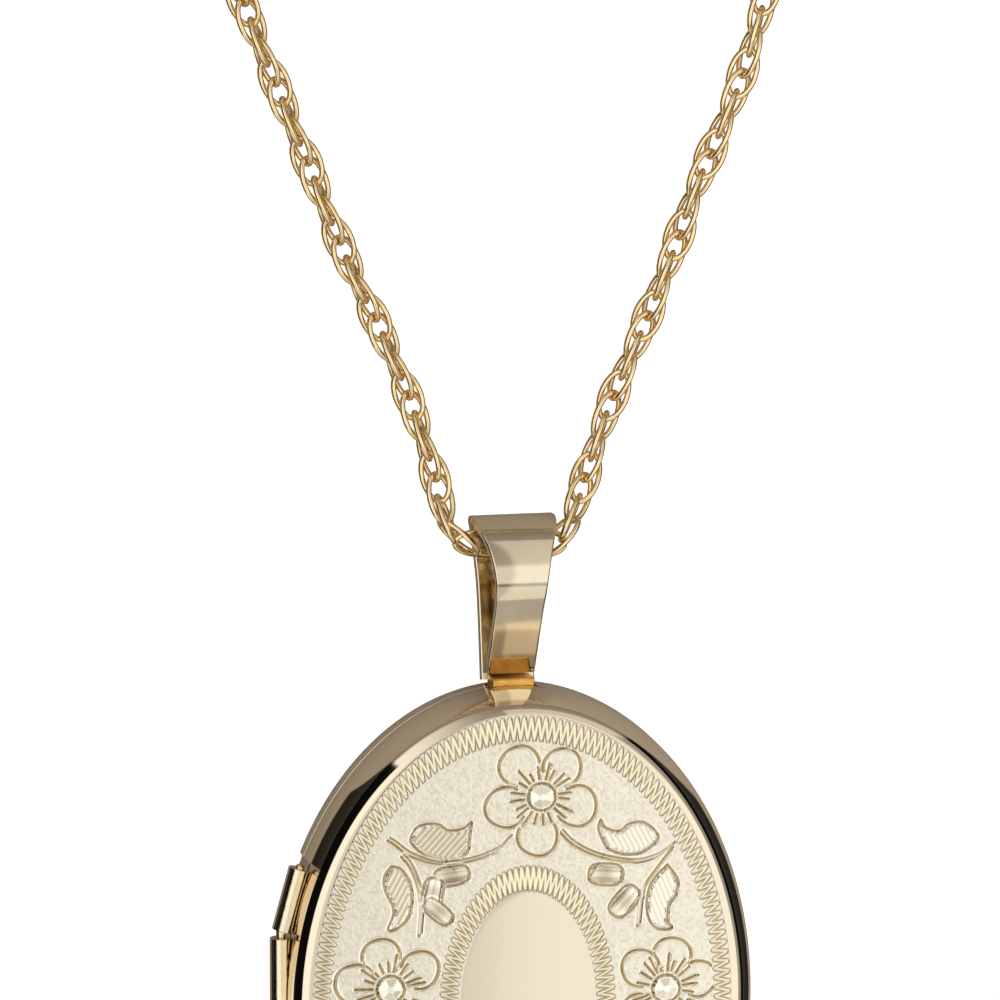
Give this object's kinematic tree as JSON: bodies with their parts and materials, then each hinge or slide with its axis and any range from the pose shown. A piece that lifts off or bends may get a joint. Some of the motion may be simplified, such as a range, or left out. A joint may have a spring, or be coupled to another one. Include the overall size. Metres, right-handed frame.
{
  "type": "locket",
  "caption": "Oval hinged gold locket with an engraved front, photo frames inside, a folded strap bail and a rope chain with a spring-ring clasp, lying on its back.",
  "frame": {"origin": "centre of the flat back face of the case, which lies on the table", "axes": "+X to the right of the front face, away from the hinge; +Y from the case's centre to the bail; +Z out of the engraved front face"},
  "size_m": [0.0282, 0.0797, 0.0044],
  "materials": {
    "gold_case": "polished yellow gold, satin stippled and engraved on the front face",
    "gold_hinge": "drawn gold tube, lightly filed",
    "gilt_frame": "gilt brass",
    "clear_window": "clear acetate film",
    "paper_blank": "plain uncoated paper blank",
    "gold_bail": "polished gold strap",
    "gold_chain": "bright gold wire links",
    "gold_clasp": "polished gold",
    "spring_steel": "bright spring wire"
  },
  "bodies": {
    "case_back": {"back_shell": "gold_case", "catch_band": "gold_case", "hinge_knuckle_upper": "gold_hinge", "hinge_knuckle_lower": "gold_hinge", "hinge_pin": "gold_hinge", "photo_frame_back": "gilt_frame", "window_back": "clear_window", "photo_blank_back": "paper_blank", "bail": "gold_bail", "bail_foot": "gold_hinge", "chain_left": "gold_chain", "chain_right": "gold_chain", "chain_coil": "gold_chain", "chain_tail": "gold_chain", "clasp_ring": "gold_clasp", "clasp_spring": "spring_steel", "clasp_eyelet": "gold_clasp", "clasp_jump_ring": "gold_clasp", "catch_ring": "gold_clasp"},
    "cover": {"front_cover": "gold_case", "hinge_knuckle_middle": "gold_hinge", "photo_frame_front": "gilt_frame", "window_front": "clear_window", "photo_blank_front": "paper_blank"},
    "clasp_tongue": {"clasp_tongue": "gold_clasp"}
  },
  "joints": [
    {"name": "cover_hinge", "type": "hinge", "parent": "case_back", "child": "cover", "pos_m": [-0.00976, 0, 0.0022], "axis": [0, -1, 0], "range_deg": [0, 170]},
    {"name": "clasp_trigger", "type": "hinge", "parent": "case_back", "child": "clasp_tongue", "pos_m": [-0.013, 0.0496, 0.00112], "axis": [0, 0, 1], "range_deg": [0, 50], "stiffness_Nm_per_rad": 0.0005, "springref_deg": -17.19}
  ]
}
